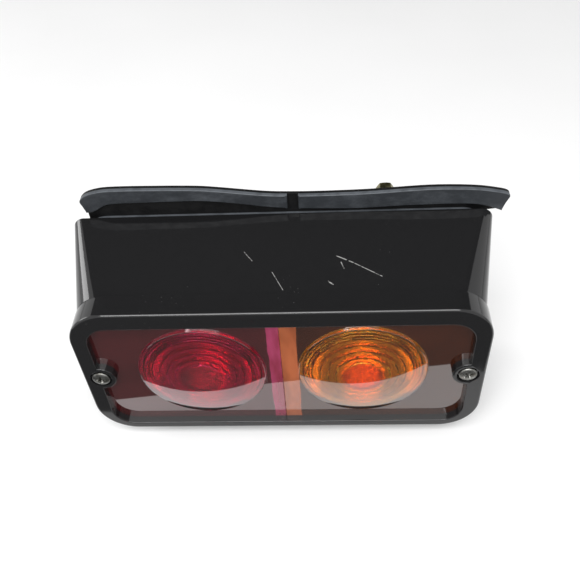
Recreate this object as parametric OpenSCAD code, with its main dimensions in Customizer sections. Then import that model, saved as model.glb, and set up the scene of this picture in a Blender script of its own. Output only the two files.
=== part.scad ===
// Rear lamp cluster for a heavy vehicle: red and amber chambers in one black moulded housing.
// The lens faces -Y, +X is to the right seen from the lens side, and +Z is up.
// The origin is the centre of the flat rear face of the housing.

/* [Bezel] */
// Width of the bezel
bezel_w = 200; // [190:1:220]
// Height of the bezel
bezel_h = 90; // [86:1:100]
// Radius of the bezel's outer corners
bezel_r = 20; // [18:0.5:24]
// Depth of the bezel from its face to the step
bezel_d = 13; // [12:0.5:16]
// Thickness of the bezel's front wall, which sets the lens back
bezel_front = 4; // [3.5:0.1:5]
// Thickness of the bezel's skirt
bezel_skirt = 3; // [2.5:0.1:3.4]
// Rounding of the bezel's front edge
bezel_edge = 1.4; // [0.8:0.1:1.8]

/* [Window] */
// Width of the window in the bezel
window_w = 183.4; // [178:0.2:185]
// Height of the window in the bezel
window_h = 74.6; // [70:0.2:76]
// Radius of the window's corners
window_r = 11.5; // [9:0.5:14]
// How far the optical axis lies below the middle of the bezel
axis_drop = 1.6; // [0:0.1:2.4]

/* [Housing] */
// Depth of the flared body behind the step
body_d = 49; // [46:1:60]
// How far the body stands back from the bezel's outline at the step
step_in = 1.6; // [0.8:0.1:2]
// How much wider the body is at the rear than at the step
flare_w = 15.8; // [12:0.2:22]
// How much higher the body is at the rear than at the step
flare_h = 18.6; // [14:0.2:22]
// Corner radius of the body at the step
body_front_r = 18.5; // [17:0.5:20]
// Corner radius of the body at the rear
body_back_r = 6; // [5:0.5:14]
// Rounding of the body's two edges
body_edge = 1; // [0.6:0.1:1.4]
// Wall of the housing
wall = 2.6; // [2.2:0.1:2.8]
// Thickness of the housing's rear wall
back_wall = 3; // [2.5:0.1:4]
// Clearance between the bezel's skirt and the housing's neck
neck_gap = 0.5; // [0.3:0.1:0.7]

/* [Lens] */
// Thickness of the lens plate
lens_t = 3; // [2.5:0.1:3.4]
// Radius of each dome at its foot
dome_r = 31.8; // [29:0.2:33]
// Distance of each dome's axis from the join
dome_x = 40.1; // [38:0.1:42]
// Height of a dome's crown over the lens plate
dome_h = 6.2; // [5:0.1:7.5]
// Height of the upright wall at a dome's foot
dome_foot = 1.3; // [1:0.1:2]
// Wall of a dome
dome_wall = 2.2; // [1.8:0.1:2.6]
// Radius of the flat disc at a dome's crown
crown_r = 9.6; // [8:0.2:12]
// Number of fine rings next to a dome's foot
fine_rings = 3; // [2:1:4]
// Pitch of the fine rings
fine_pitch = 1.5; // [1.2:0.1:1.8]
// Number of broad rings between the fine rings and the crown
broad_rings = 4; // [3:1:6]
// Height of the riser at each ring
ring_rise = 0.55; // [0.3:0.05:0.8]
// Width of the riser at each ring
riser_w = 0.5; // [0.3:0.05:0.7]
// Gap between the red and the amber lens
lens_join = 0.1; // [0.05:0.05:0.3]
// Clearance round the lens plate inside the skirt
lens_gap = 0.3; // [0.2:0.05:0.5]
// Thickness of the seal behind the lens plate
seal_t = 2; // [1.5:0.1:2.5]

/* [Lens screws] */
// Distance of each lens screw from the bezel's end
screw_inset = 8.6; // [8.2:0.1:9.2]
// Radius of the boss pad in the bezel round a screw
pad_r = 8.7; // [7.8:0.1:9.5]
// Radius of the recess round the screw head
recess_r = 6.2; // [5.6:0.1:6.8]
// Depth of the recess round the screw head
recess_d = 2.6; // [2:0.1:2.8]
// Radius of the screw head
head_r = 4.45; // [4:0.05:5]
// Height of the screw head
head_h = 2.8; // [2.2:0.1:3]
// Height of the rounded crown of the screw head
head_crown = 1.3; // [1:0.1:1.8]
// Radius of the screw shank
shank_r = 2; // [1.6:0.1:2.2]
// Length of the screw shank
shank_l = 18; // [14:1:22]
// Width of the arms of the cross recess
cross_w = 1.2; // [0.9:0.1:1.5]
// Length of the arms of the cross recess, tip to tip
cross_l = 5; // [4:0.1:5.6]
// Depth of the cross recess
cross_d = 1.6; // [1:0.1:2]
// Radius of the screw boss in the housing
boss_r = 4.6; // [4.4:0.1:5]
// Length of the screw boss in the housing
boss_l = 18; // [16:1:22]
// Clearance of a screw in the holes that it passes through
screw_gap = 0.35; // [0.3:0.05:0.5]
// Clearance of a screw in its threaded boss
thread_gap = 0.05; // [0.03:0.01:0.1]

/* [Partition] */
// Thickness of the partition between the chambers
partition_t = 2.4; // [2:0.1:3]
// Width of the partition's front flange
partition_flange_w = 9.6; // [8:0.2:10]
// Thickness of the partition's front flange
partition_flange_t = 1.6; // [1.2:0.1:2]
// Clearance between the partition and what lies round it
partition_gap = 0.3; // [0.2:0.05:0.5]
// Height of the wire passage in the partition
passage_h = 37; // [34:1:40]
// Depth of the wire passage in the partition
passage_d = 15; // [14:1:20]
// Distance from the optical axis down to the top of the wire passage
passage_drop = 6; // [5:1:10]

/* [Reflectors] */
// Outer radius of a reflector's mouth
mouth_r = 34; // [32:0.2:34.4]
// Width of the rim round a reflector's mouth
mouth_rim = 2; // [1.5:0.1:2.2]
// Wall of a reflector
reflector_wall = 1.2; // [1:0.1:1.4]
// Clearance between a reflector's neck and the bulb holder
reflector_gap = 1; // [0.6:0.1:1.3]
// Length of a reflector's neck
reflector_neck = 15; // [12:1:18]
// Distance of a reflector's mouth from the housing's front rim
mouth_back = 1.6; // [1.2:0.1:3]

/* [Bulb holders] */
// Inner radius of a bulb holder
holder_r = 7.7; // [7.65:0.05:7.9]
// Wall of a bulb holder
holder_wall = 0.9; // [0.7:0.1:1.2]
// Length of a bulb holder
holder_l = 18; // [16:1:20]
// Radius of a bulb holder's flange
holder_flange_r = 14; // [13.4:0.1:16]
// Thickness of a bulb holder's floor and flange
holder_floor = 1.5; // [1.2:0.1:2]
// Width of the slot for a bayonet pin
slot_w = 2.5; // [2.4:0.1:3]
// Length of the slot for a bayonet pin
slot_l = 7.5; // [7:0.5:9]
// Radius of the contact disc
disc_r = 7.2; // [6.8:0.1:7.3]
// Thickness of the contact disc
disc_t = 1.5; // [1.2:0.1:2]
// Radius of the contact spring, to the middle of its wire
spring_r = 5; // [4.5:0.1:5.5]
// Length of the contact spring
spring_l = 4.5; // [4:0.1:6]
// Thickness of the spring wire
spring_wire = 0.8; // [0.6:0.1:0.9]
// Number of turns of the contact spring
spring_turns = 3; // [2:1:3]

/* [Bulbs] */
// Radius of a bulb's metal cap
cap_r = 7.5; // [7.4:0.02:7.56]
// Length of a bulb's metal cap
cap_l = 14; // [12:0.5:16]
// Radius of a bayonet pin
pin_r = 1; // [0.8:0.1:1.1]
// How far a bayonet pin stands out of the cap
pin_out = 1.3; // [1:0.1:1.6]
// Distance of the bayonet pins from the foot of the cap
pin_up = 7; // [6:0.5:8]
// Radius of a bulb's glass at its widest
globe_r = 12.5; // [11:0.1:13]
// Radius of a bulb's glass where it enters the cap
glass_neck_r = 6.6; // [6:0.1:7]
// Distance from the cap to the middle of the globe
globe_up = 13.6; // [13:0.1:15]
// Wall of the glass
glass_wall = 0.8; // [0.6:0.1:1]
// Radius of a filament's support wires
support_r = 0.4; // [0.3:0.05:0.5]
// Height of a filament over the cap
filament_up = 13; // [10:0.5:15]
// Length of a filament
filament_l = 6; // [5:0.5:7]
// Radius of a filament's coil
filament_r = 0.8; // [0.6:0.1:1]

/* [Wiring] */
// Width of the terminal block
terminal_w = 24; // [20:1:26]
// Height of the terminal block
terminal_h = 11; // [10:0.5:12]
// Depth of the terminal block
terminal_d = 10; // [9:0.5:11]
// Distance of the terminal block below the optical axis
terminal_drop = 34; // [33:0.5:36]
// Radius of a terminal screw well
well_r = 2.2; // [2:0.1:2.4]
// Depth of a terminal screw well
well_d = 5; // [4:0.5:6]
// Number of terminal screw wells
wells = 3; // [2:1:3]
// Radius of an inner lead
lead_r = 1.2; // [1:0.1:1.4]
// Distance of the inner leads from the housing's rear wall
lead_y = 5; // [4:0.5:6]
// Bend radius of the inner leads
lead_bend = 2.6; // [2.4:0.1:2.9]
// Radius of the bore in the cable grommet
grommet_bore_r = 4; // [3:0.1:4.5]
// Radius of the grommet's neck in the housing
grommet_neck_r = 7; // [6:0.1:7.5]
// Radius of the grommet's flanges
grommet_flange_r = 9.5; // [8.5:0.1:10]
// Thickness of the grommet's flanges
grommet_flange_t = 2; // [1.5:0.1:3]
// Length of the grommet's sleeve behind the housing
grommet_l = 12; // [10:1:16]
// Radius of the grommet's sleeve at its tip
grommet_tip_r = 5.6; // [5.4:0.1:6]
// Distance of the grommet below the optical axis
grommet_drop = 16.4; // [16:0.2:18]
// Clearance of the grommet in the rear wall
grommet_gap = 0.05; // [0.03:0.01:0.1]

/* [Gasket] */
// How far the gasket's frame lies inside the edge of the rear face
gasket_inset = 4; // [3:0.5:6]
// Width of the frame's limbs
gasket_limb = 5.5; // [4.5:0.1:5.8]
// Thickness of the gasket
gasket_t = 4; // [3:0.5:5]
// Thickness of the web that carries the lip
gasket_web = 1.6; // [1.2:0.1:2]
// Radius of the frame's outer corners
gasket_r = 12; // [9:0.5:15]
// How far the gasket has slipped to the right
gasket_slip_x = 1; // [0:0.5:2]
// How far the gasket has slipped upwards
gasket_slip_z = 2.8; // [0:0.2:4]
// Width of the notch in the lip
notch_w = 5.5; // [4:0.5:8]
// Distance of the notch from the middle
notch_x = 7; // [0:0.5:10]

/* [Mounting studs] */
// Distance between the two mounting studs
stud_pitch = 111; // [100:1:120]
// Distance of the mounting studs below the housing's top edge at the rear
stud_inset = 14.2; // [11:0.1:15]
// Radius of a stud's plain shank
stud_r = 3; // [2.5:0.1:4]
// Length of a stud's plain shank
stud_shank = 28; // [24:1:32]
// Length of a stud's threaded end
stud_thread = 8; // [7:0.5:12]
// Radius of a stud's threaded end
thread_r = 2.75; // [2.4:0.05:2.8]
// Radius of a stud's head inside the housing
stud_head_r = 5.5; // [5:0.1:6]
// Thickness of a stud's head
stud_head_t = 2.5; // [2:0.1:3]
// Clearance of a stud in the rear wall
stud_gap = 0.05; // [0.03:0.01:0.1]
// Width of a nut across its flats
nut_flats = 10; // [9.5:0.1:13]
// Thickness of a nut
nut_t = 5; // [4:0.1:6]
// Outer radius of a washer
washer_r = 6; // [5.6:0.1:8]
// Thickness of a washer
washer_t = 1.6; // [1:0.1:2]
// Clearance of nuts and washers on the thread
nut_gap = 0.05; // [0.03:0.01:0.1]

/* [Hidden] */
$fn = 64;

hull_fn = 32;           // steps round a corner that is hulled
cut = 1;                // how far a cutter runs past a face
sheet = 0.02;           // thickness of a slice that is hulled
black = "#232323";
rubber = "#3c4044";
red_plastic = "#a01020";
amber_plastic = "#d08018";
zinc = "#c8b060";
steel = "#b8bcc0";
brass = "#c9a24a";

// Planes along Y, from the rear face to the bezel's face
step_y = -body_d;
face_y = step_y - bezel_d;
lens_y = face_y + bezel_front;
lens_back_y = lens_y + lens_t;
neck_y = lens_back_y + seal_t;
floor_y = -back_wall;
axis_z = -axis_drop;

// Sections of the neck, the cavity and the lens plate
pocket_w = bezel_w - 2 * bezel_skirt;
pocket_h = bezel_h - 2 * bezel_skirt;
pocket_r = bezel_r - bezel_skirt;
neck_w = pocket_w - 2 * neck_gap;
neck_h = pocket_h - 2 * neck_gap;
neck_r = pocket_r - neck_gap;
mouth_w = neck_w - 2 * wall;
mouth_h = neck_h - 2 * wall;
mouth_corner_r = neck_r - wall;
body_front_w = bezel_w - 2 * step_in;
body_front_h = bezel_h - 2 * step_in;
body_back_w = body_front_w + flare_w;
body_back_h = body_front_h + flare_h;
plate_w = pocket_w - 2 * lens_gap;
plate_h = pocket_h - 2 * lens_gap;
plate_r = pocket_r - lens_gap;

// Seats of the bulb holder and the bulb along Y
holder_top_y = floor_y - holder_floor;
spring_top_y = holder_top_y - spring_l;
cap_y = spring_top_y - disc_t;
glass_y = cap_y - cap_l;
reflector_foot_y = holder_top_y;
reflector_mouth_y = neck_y + mouth_back;
reflector_r = holder_r + holder_wall + reflector_gap;
stud_x = stud_pitch / 2;
stud_z = body_back_h / 2 - stud_inset;
screw_x = bezel_w / 2 - screw_inset;

// Solids that lie across Y
module rounded_rect(w, h, r) {
    square([w - 2 * r, h], center = true);
    square([w, h - 2 * r], center = true);
    for (x = [-1, 1], z = [-1, 1])
        translate([x * (w / 2 - r), z * (h / 2 - r)]) circle(r);
}

// A plate whose rear face is at y, with its thickness towards the lens side
module plate(y, t, w, h, r, z = 0) {
    translate([0, y, z]) rotate([90, 0, 0]) linear_extrude(t) rounded_rect(w, h, r);
}

// A thin slice for a hull, with its rear face at y
module slice(y, w, h, r) {
    plate(y, sheet, w, h, r, $fn = hull_fn);
}

// Places a turned or extruded shape: its own Z runs towards the lens side from y
module facing_lens(x, y, z) {
    translate([x, y, z]) rotate([90, 0, 0]) children();
}

// Places a shape whose own Z runs away from the lens side from y
module facing_rear(x, y, z) {
    translate([x, y, z]) rotate([-90, 0, 0]) children();
}

// Housing
module flared_body() {
    hull() {
        slice(0, body_back_w - 2 * body_edge, body_back_h - 2 * body_edge, body_back_r - body_edge);
        slice(-body_edge, body_back_w, body_back_h, body_back_r);
        slice(step_y + body_edge, body_front_w, body_front_h, body_front_r);
        slice(step_y + sheet, body_front_w - 2 * body_edge, body_front_h - 2 * body_edge,
              body_front_r - body_edge);
    }
}

module cavity() {
    hull() {
        slice(floor_y, body_back_w - 2 * wall, body_back_h - 2 * wall, body_back_r - wall);
        slice(step_y + wall + sheet, mouth_w, mouth_h, mouth_corner_r);
    }
}

module housing() {
    color(black) difference() {
        union() {
            difference() {
                union() {
                    flared_body();
                    plate(step_y + wall, step_y + wall - neck_y, neck_w, neck_h, neck_r);
                }
                cavity();
                plate(step_y + 2 * wall, step_y + 2 * wall - neck_y + cut, mouth_w, mouth_h, mouth_corner_r);
            }
            for (side = [-1, 1]) facing_rear(side * screw_x, neck_y, axis_z)
                cylinder(h = boss_l, r = boss_r);
        }
        for (side = [-1, 1]) {
            facing_rear(side * screw_x, neck_y - cut, axis_z)
                cylinder(h = boss_l + 2 * cut, r = shank_r + thread_gap);
            facing_rear(side * stud_x, floor_y - cut, stud_z)
                cylinder(h = back_wall + 2 * cut, r = stud_r + stud_gap);
        }
        facing_rear(0, floor_y - cut, axis_z - grommet_drop)
            cylinder(h = back_wall + 2 * cut, r = grommet_neck_r + grommet_gap);
    }
}

// Section of the bezel's rim: the given width, with its front outer edge rounded
module rim_section(w) {
    square([w - bezel_edge, bezel_d]);
    square([w, bezel_d - bezel_edge]);
    translate([w - bezel_edge, bezel_d - bezel_edge]) circle(bezel_edge);
}

// Bezel: turned corners joined by straight runs of the same section
module bezel_block() {
    x = bezel_w / 2 - bezel_r;
    z = bezel_h / 2 - bezel_r;
    facing_lens(0, step_y, 0) {
        for (side = [0, 1], end = [0, 1]) mirror([side, 0, 0]) mirror([0, end, 0])
            translate([x, z, 0]) rotate_extrude(angle = 90) rim_section(bezel_r);
        for (end = [0, 1]) mirror([0, end, 0]) translate([-x, 0, 0]) rotate([90, 0, 90])
            linear_extrude(2 * x) rim_section(bezel_h / 2);
        for (side = [0, 1]) mirror([side, 0, 0]) translate([x, z, 0]) rotate([90, 0, 0])
            linear_extrude(2 * z) rim_section(bezel_r);
    }
}

module bezel() {
    color(black) difference() {
        union() {
            difference() {
                bezel_block();
                plate(lens_y + cut, bezel_front + 2 * cut, window_w, window_h, window_r, axis_z);
            }
            intersection() {
                plate(lens_y, bezel_front, pocket_w, pocket_h, pocket_r);
                for (side = [-1, 1]) facing_lens(side * screw_x, lens_y, axis_z)
                    cylinder(h = bezel_front, r = pad_r);
            }
        }
        plate(step_y + cut, step_y - lens_y + cut, pocket_w, pocket_h, pocket_r);
        for (side = [-1, 1]) {
            facing_lens(side * screw_x, face_y + recess_d, axis_z)
                cylinder(h = recess_d + cut, r = recess_r);
            facing_lens(side * screw_x, lens_y + cut, axis_z)
                cylinder(h = bezel_front + 2 * cut, r = shank_r + screw_gap);
        }
    }
}

// Lens: each dome is turned from stepped rings over a smooth inner bowl
function crown_height(r) = dome_foot + (dome_h - dome_foot) * (1 - pow(r / dome_r, 2));

broad_pitch = (dome_r - fine_rings * fine_pitch - crown_r) / broad_rings;
ring_radii = [for (i = [0:fine_rings + broad_rings])
    i <= fine_rings ? dome_r - i * fine_pitch
                    : dome_r - fine_rings * fine_pitch - (i - fine_rings) * broad_pitch];
top_height = crown_height(crown_r);

function ring_profile(i) = [
    [ring_radii[i], crown_height(ring_radii[i]) - (i == 0 ? 0 : ring_rise / 2)],
    [ring_radii[i] - riser_w, crown_height(ring_radii[i]) + ring_rise / 2]];

module dome_outside() {
    rings = [for (i = [0:fine_rings + broad_rings - 1]) each ring_profile(i)];
    rotate_extrude()
        polygon(concat([[0, -lens_t], [dome_r, -lens_t]], rings, [[crown_r, top_height], [0, top_height]]));
}

module dome_inside() {
    bowl_r = dome_r - dome_wall;
    steps = 8;
    bowl = [for (i = [0:steps]) [bowl_r * (1 - i / steps),
        crown_height(bowl_r * (1 - i / steps)) - dome_wall - ring_rise]];
    rotate_extrude() polygon(concat([[0, -lens_t - cut], [bowl_r, -lens_t - cut]], bowl));
}

module lens(side) {
    difference() {
        union() {
            intersection() {
                plate(lens_back_y, lens_t, plate_w, plate_h, plate_r);
                facing_lens(side * (plate_w / 4 + lens_join), lens_back_y + cut, 0)
                    linear_extrude(lens_t + 2 * cut)
                        square([plate_w / 2 + lens_join, plate_h], center = true);
            }
            facing_lens(side * dome_x, lens_y, axis_z) dome_outside();
        }
        facing_lens(side * dome_x, lens_y, axis_z) dome_inside();
        facing_lens(side * screw_x, lens_back_y + cut, axis_z)
            cylinder(h = lens_t + 2 * cut, r = shank_r + screw_gap);
    }
}

module lens_red() {
    color(red_plastic, 0.7) lens(-1);
}

module lens_amber() {
    color(amber_plastic, 0.7) lens(1);
}

// Seal between the lens plate and the housing's front rim, with an eye for each screw
module lens_seal() {
    color(rubber) difference() {
        union() {
            difference() {
                plate(neck_y, seal_t, neck_w, neck_h, neck_r);
                plate(neck_y + cut, seal_t + 2 * cut, mouth_w, mouth_h, mouth_corner_r);
            }
            for (side = [-1, 1]) facing_lens(side * screw_x, neck_y, axis_z)
                cylinder(h = seal_t, r = boss_r);
        }
        for (side = [-1, 1]) facing_lens(side * screw_x, neck_y + cut, axis_z)
            cylinder(h = seal_t + 2 * cut, r = shank_r + screw_gap);
    }
}

// Pan-head screw with a cross recess, its own Z running out of the head
module lens_screw(side) {
    shoulder = head_h - head_crown;
    steps = 6;
    profile = [for (i = [0:steps]) let (a = 90 * i / steps)
        [head_r * cos(a), shoulder + head_crown * sin(a)]];
    color(steel) facing_lens(side * screw_x, face_y + recess_d, axis_z) {
        difference() {
            rotate_extrude() polygon(concat([[0, 0], [head_r, 0]], profile));
            for (turn = [0, 90]) rotate([0, 0, turn])
                translate([-cross_l / 2, -cross_w / 2, head_h - cross_d])
                    cube([cross_l, cross_w, cross_d + cut]);
        }
        translate([0, 0, -shank_l]) cylinder(h = shank_l, r = shank_r);
    }
}

module screw_left() {
    lens_screw(-1);
}

module screw_right() {
    lens_screw(1);
}

// Partition: a web that follows the walls, a flange behind the join and a passage for the leads
module partition() {
    front_y = lens_back_y + partition_gap;
    side_back = body_back_h / 2 - wall - partition_gap;
    side_front = mouth_h / 2 - partition_gap;
    web = [[floor_y, -side_back], [floor_y, side_back], [step_y + wall, side_front], [front_y, side_front],
           [front_y, -side_front], [step_y + wall, -side_front]];
    color("#d8d4cc") difference() {
        union() {
            translate([-partition_t / 2, 0, 0]) rotate([90, 0, 90]) linear_extrude(partition_t) polygon(web);
            translate([-partition_flange_w / 2, front_y, -side_front])
                cube([partition_flange_w, partition_flange_t, 2 * side_front]);
        }
        translate([-partition_t, floor_y - passage_d, axis_z - passage_drop - passage_h])
            cube([2 * partition_t, passage_d + cut, passage_h]);
    }
}

// Reflector: a parabolic bowl on a neck that stands on the flange of the bulb holder
module reflector(side) {
    bowl_l = reflector_foot_y - reflector_neck - reflector_mouth_y;
    foot_r = reflector_r + reflector_wall;
    steps = 12;
    outer = [for (i = [0:steps]) [sqrt(pow(foot_r, 2) + (pow(mouth_r, 2) - pow(foot_r, 2)) * i / steps),
        reflector_neck + bowl_l * i / steps]];
    inner = [for (i = [steps:-1:0]) [outer[i][0] - reflector_wall, outer[i][1]]];
    rim_top = reflector_neck + bowl_l;
    rim = [[mouth_r + mouth_rim, rim_top - reflector_wall], [mouth_r + mouth_rim, rim_top]];
    shell = concat([[reflector_r, 0], [foot_r, 0]], [for (i = [0:steps - 1]) outer[i]],
        [[outer[steps][0], rim_top - reflector_wall]], rim, [for (i = [0:steps]) inner[i]]);
    color("#d9dde0") facing_lens(side * dome_x, reflector_foot_y, axis_z) rotate_extrude() polygon(shell);
}

module reflector_left() {
    reflector(-1);
}

module reflector_right() {
    reflector(1);
}

// Bulb holder: a bayonet tube with two slots on a round flange
module holder(side) {
    tube_r = holder_r + holder_wall;
    color(steel) facing_lens(side * dome_x, floor_y, axis_z) difference() {
        union() {
            cylinder(h = holder_floor, r = holder_flange_r);
            cylinder(h = holder_l, r = tube_r);
        }
        translate([0, 0, holder_floor]) cylinder(h = holder_l, r = holder_r);
        translate([-tube_r - cut, -slot_w / 2, holder_l - slot_l])
            cube([2 * (tube_r + cut), slot_w, slot_l + cut]);
    }
}

module holder_left() {
    holder(-1);
}

module holder_right() {
    holder(1);
}

// Contact spring: one swept helix whose ends lie on the holder's floor and under the contact disc
module spring(side) {
    sides = 6;
    per_turn = 18;
    rings = spring_turns * per_turn;
    rise = spring_l - spring_wire;
    wire_r = spring_wire / 2;
    points = [for (i = [0:rings]) let (turn = 360 * i / per_turn) for (k = [0:sides - 1])
        let (tilt = 360 * k / sides, r = spring_r + wire_r * cos(tilt))
        [r * cos(turn), r * sin(turn), wire_r + rise * i / rings + wire_r * sin(tilt)]];
    skin = [for (i = [0:rings - 1], k = [0:sides - 1]) let (next = (k + 1) % sides)
        [i * sides + k, i * sides + next, (i + 1) * sides + next, (i + 1) * sides + k]];
    ends = [[for (k = [sides - 1:-1:0]) k], [for (k = [0:sides - 1]) rings * sides + k]];
    color(steel) facing_lens(side * dome_x, holder_top_y, axis_z)
        polyhedron(points, concat(skin, ends), convexity = 6);
}

module spring_left() {
    spring(-1);
}

module spring_right() {
    spring(1);
}

// Contact disc that the spring presses against the foot of the bulb
module contact(side) {
    color("#8a5a34") facing_lens(side * dome_x, spring_top_y, axis_z) cylinder(h = disc_t, r = disc_r);
}

module contact_left() {
    contact(-1);
}

module contact_right() {
    contact(1);
}

// Metal cap of a bulb with its two bayonet pins in the holder's slots
module bulb_cap(side) {
    color(brass) facing_lens(side * dome_x, cap_y, axis_z) {
        cylinder(h = cap_l, r = cap_r);
        translate([0, 0, pin_up]) rotate([0, 90, 0])
            cylinder(h = 2 * (cap_r + pin_out), r = pin_r, center = true);
    }
}

module bulb_cap_left() {
    bulb_cap(-1);
}

module bulb_cap_right() {
    bulb_cap(1);
}

// Glass of a bulb, blown from a straight neck into a round globe
function glass_profile(r_globe, r_neck) =
    let (first = asin(r_neck / r_globe), steps = 12)
    [for (i = [0:steps]) let (a = 180 - first - (180 - first) * i / steps)
        [r_globe * sin(a), globe_up + r_globe * cos(a)]];

module bulb_glass(side) {
    outer = glass_profile(globe_r, glass_neck_r);
    inner = glass_profile(globe_r - glass_wall, glass_neck_r - glass_wall);
    color("white", 0.4) facing_lens(side * dome_x, glass_y, axis_z) rotate_extrude()
        difference() {
            polygon(concat([[0, 0], [glass_neck_r, 0]], outer));
            polygon(concat([[0, -cut], [glass_neck_r - glass_wall, -cut]], inner));
        }
}

module bulb_glass_left() {
    bulb_glass(-1);
}

module bulb_glass_right() {
    bulb_glass(1);
}

// Filament on two support wires that stand on the cap
module filament(side) {
    color(steel) facing_lens(side * dome_x, glass_y, axis_z) {
        for (x = [-1, 1]) translate([x * filament_l / 2, 0, 0]) cylinder(h = filament_up, r = support_r);
        translate([0, 0, filament_up]) rotate([0, 90, 0])
            cylinder(h = filament_l + 2 * support_r, r = filament_r, center = true);
    }
}

module filament_left() {
    filament(-1);
}

module filament_right() {
    filament(1);
}

// Terminal block on the rear wall, in the passage of the partition
module terminal_block() {
    pitch = terminal_w / wells;
    color("#e4e0d4") facing_lens(0, floor_y, axis_z - terminal_drop) difference() {
        translate([-terminal_w / 2, -terminal_h / 2, 0]) cube([terminal_w, terminal_h, terminal_d]);
        for (i = [0:wells - 1]) translate([(i - (wells - 1) / 2) * pitch, 0, terminal_d - well_d])
            cylinder(h = well_d + cut, r = well_r);
    }
}

// Inner lead: out of the side of the terminal block, up, and back onto the flange of a bulb holder
module lead(side) {
    low_z = axis_z - terminal_drop;
    tag_z = axis_z - (holder_flange_r + reflector_r + reflector_wall) / 2;
    y = floor_y - lead_y;
    start_x = terminal_w / 2;
    color("#b02a20") mirror([side < 0 ? 1 : 0, 0, 0]) {
        translate([start_x, y, low_z]) rotate([0, 90, 0])
            cylinder(h = dome_x - lead_bend - start_x, r = lead_r);
        translate([dome_x - lead_bend, y, low_z + lead_bend]) rotate([90, 0, 0]) elbow(-90);
        translate([dome_x, y, low_z + lead_bend]) cylinder(h = tag_z - low_z - 2 * lead_bend, r = lead_r);
        translate([dome_x, y + lead_bend, tag_z - lead_bend]) rotate([90, 0, -90]) elbow(0);
        facing_rear(dome_x, y + lead_bend, tag_z)
            cylinder(h = holder_top_y - y - lead_bend, r = lead_r);
    }
}

// A quarter turn of lead about its own Z, from the given angle
module elbow(from) {
    rotate([0, 0, from]) rotate_extrude(angle = 90) translate([lead_bend, 0]) circle(lead_r);
}

module lead_left() {
    lead(-1);
}

module lead_right() {
    lead(1);
}

// Cable grommet: a groove that grips the rear wall and a tapered sleeve behind it
module cable_grommet() {
    rear = back_wall + grommet_flange_t;
    color(rubber) facing_rear(0, floor_y, axis_z - grommet_drop) rotate_extrude()
        polygon([[grommet_bore_r, -grommet_flange_t], [grommet_flange_r, -grommet_flange_t],
                 [grommet_flange_r, 0], [grommet_neck_r, 0], [grommet_neck_r, back_wall],
                 [grommet_flange_r, back_wall], [grommet_flange_r, rear], [grommet_neck_r, rear],
                 [grommet_tip_r, back_wall + grommet_l], [grommet_bore_r, back_wall + grommet_l]]);
}

// Gasket: a thin rubber frame that has slipped up, with a wavy lip over the housing's top edge.
// The lip's outline is a share of the body's half width at the rear and a height over its top edge.
LIP_TOP = [[-0.925, 2.6], [-0.936, 6.8], [-0.943, 9.6], [-0.928, 12], [-0.898, 14], [-0.85, 15.4],
           [-0.8, 16], [-0.7, 16.1], [-0.6, 15.9], [-0.48, 15.6], [-0.36, 15], [-0.25, 13.6], [-0.13, 11.8],
           [-0.04, 10.7], [0.055, 10.2], [0.17, 10], [0.285, 10.1], [0.38, 10.3], [0.475, 10.7],
           [0.58, 11.4], [0.7, 12], [0.82, 11.8], [0.93, 10.9], [1.02, 9.1], [1.055, 7.9],
           [1.068, 6.2], [1.054, 2.4], [1.04, -2.4]];
LIP_BOTTOM = [[0.985, 0.2], [0.92, 2], [0.84, 2.5], [0.75, 2.6], [0.57, 2.2], [0.38, 1.3], [0.2, 1.7],
              [0.05, 2.4], [-0.065, 3.7], [-0.15, 5.3], [-0.23, 6.6], [-0.3, 7.6], [-0.37, 8.3],
              [-0.49, 8.4], [-0.61, 8.2], [-0.7, 8.1], [-0.775, 7.9], [-0.825, 7.1], [-0.872, 4.1],
              [-0.895, 2.9]];

function over_edge(points) = [for (p = points) [p[0] * body_back_w / 2, p[1] + body_back_h / 2]];

module gasket_frame() {
    w = body_back_w - 2 * gasket_inset;
    h = body_back_h - 2 * gasket_inset;
    translate([gasket_slip_x, gasket_slip_z]) difference() {
        rounded_rect(w, h, gasket_r);
        rounded_rect(w - 2 * gasket_limb, h - 2 * gasket_limb, gasket_r - gasket_limb);
    }
}

// The thin web that carries the lip, down to the middle of the frame's top limb
module lip_web() {
    x = body_back_w / 2 - gasket_inset - gasket_r;
    z = body_back_h / 2 - gasket_inset + gasket_slip_z - gasket_limb / 2;
    polygon(concat(over_edge(LIP_TOP), [[x, z], [-x, z]]));
}

module gasket() {
    color(rubber) {
        facing_lens(0, gasket_t, 0) linear_extrude(gasket_t) gasket_frame();
        facing_lens(0, gasket_t, 0) linear_extrude(gasket_web) lip_web();
        facing_lens(0, gasket_t - gasket_web, 0) linear_extrude(gasket_t - gasket_web) difference() {
            polygon(over_edge(concat(LIP_TOP, LIP_BOTTOM)));
            translate([notch_x - notch_w / 2, 0]) square([notch_w, body_back_h]);
        }
    }
}

// Mounting stud: a head inside the rear wall, a plain shank and a threaded end
module stud(side) {
    color(zinc) {
        facing_rear(side * stud_x, floor_y - stud_head_t, stud_z) cylinder(h = stud_head_t, r = stud_head_r);
        facing_rear(side * stud_x, floor_y, stud_z) cylinder(h = back_wall, r = thread_r);
        facing_rear(side * stud_x, 0, stud_z) cylinder(h = stud_shank, r = stud_r);
        facing_rear(side * stud_x, stud_shank, stud_z) cylinder(h = stud_thread, r = thread_r);
    }
}

module stud_left() {
    stud(-1);
}

module stud_right() {
    stud(1);
}

module washer(side) {
    color(zinc) facing_rear(side * stud_x, stud_shank, stud_z) difference() {
        cylinder(h = washer_t, r = washer_r);
        translate([0, 0, -cut]) cylinder(h = washer_t + 2 * cut, r = thread_r + nut_gap);
    }
}

module washer_left() {
    washer(-1);
}

module washer_right() {
    washer(1);
}

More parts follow.
